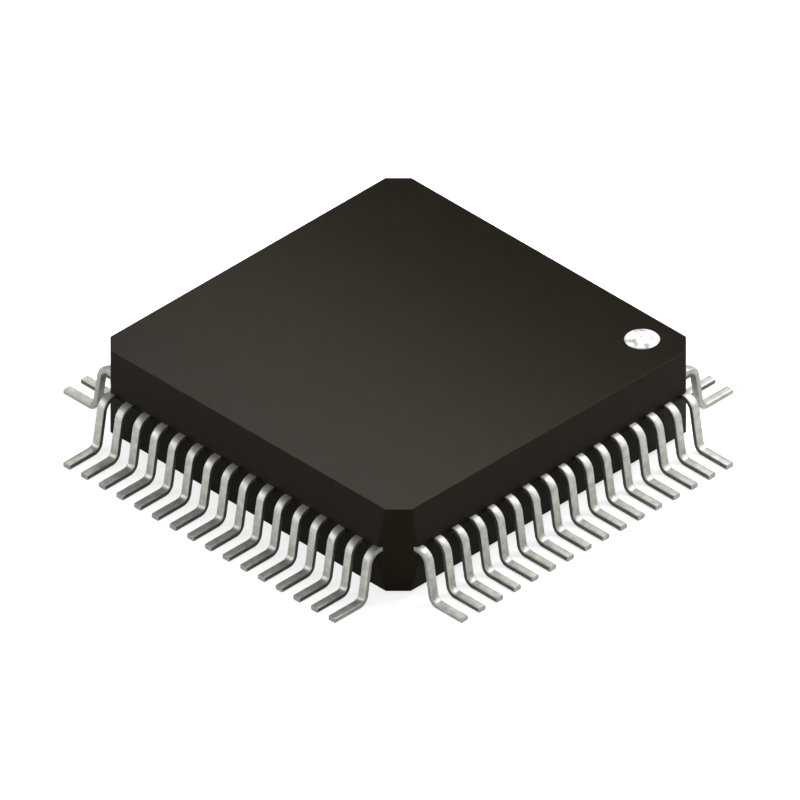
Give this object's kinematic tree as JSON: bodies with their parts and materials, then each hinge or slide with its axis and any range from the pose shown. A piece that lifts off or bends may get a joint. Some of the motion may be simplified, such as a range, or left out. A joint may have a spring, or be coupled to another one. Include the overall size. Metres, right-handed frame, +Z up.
{
  "type": "complex programmable logic device",
  "caption": "Complex programmable logic device in a square black plastic quad flat package with tinned gull-wing leads on all four sides.",
  "frame": {"origin": "on the seating plane under the centre of the body", "axes": "+Z up through the top face, X and Y square to the body's sides, with lead 1 beside the (-X, +Y) corner and the count anticlockwise from above"},
  "size_m": [0.018, 0.018, 0.0034],
  "materials": {
    "moulding": "matt black epoxy moulding compound",
    "ink": "flat white ink",
    "tinned_lead": "satin tin plate on iron-nickel strip",
    "paddle_plate": "stamped iron-nickel strip",
    "die_attach": "silver-filled adhesive",
    "silicon": "polished silicon",
    "gold_wire": "drawn gold"
  },
  "bodies": {
    "root": {"mould_body": "moulding", "pin_one_mark": "ink", "leads_01_02": "tinned_lead", "leads_03_04": "tinned_lead", "leads_05_06": "tinned_lead", "leads_07_08": "tinned_lead", "leads_09_10": "tinned_lead", "leads_11_12": "tinned_lead", "leads_13_14": "tinned_lead", "leads_15_16": "tinned_lead", "leads_17_18": "tinned_lead", "leads_19_20": "tinned_lead", "leads_21_22": "tinned_lead", "leads_23_24": "tinned_lead", "leads_25_26": "tinned_lead", "leads_27_28": "tinned_lead", "leads_29_30": "tinned_lead", "leads_31_32": "tinned_lead", "leads_33_34": "tinned_lead", "leads_35_36": "tinned_lead", "leads_37_38": "tinned_lead", "leads_39_40": "tinned_lead", "leads_41_42": "tinned_lead", "leads_43_44": "tinned_lead", "leads_45_46": "tinned_lead", "leads_47_48": "tinned_lead", "leads_49_50": "tinned_lead", "leads_51_52": "tinned_lead", "leads_53_54": "tinned_lead", "leads_55_56": "tinned_lead", "leads_57_58": "tinned_lead", "leads_59_60": "tinned_lead", "leads_61_62": "tinned_lead", "leads_63_64": "tinned_lead", "die_paddle": "paddle_plate", "die_adhesive": "die_attach", "silicon_die": "silicon", "bond_wires_left": "gold_wire", "bond_wires_front": "gold_wire", "bond_wires_right": "gold_wire", "bond_wires_back": "gold_wire"}
  },
  "joints": []
}
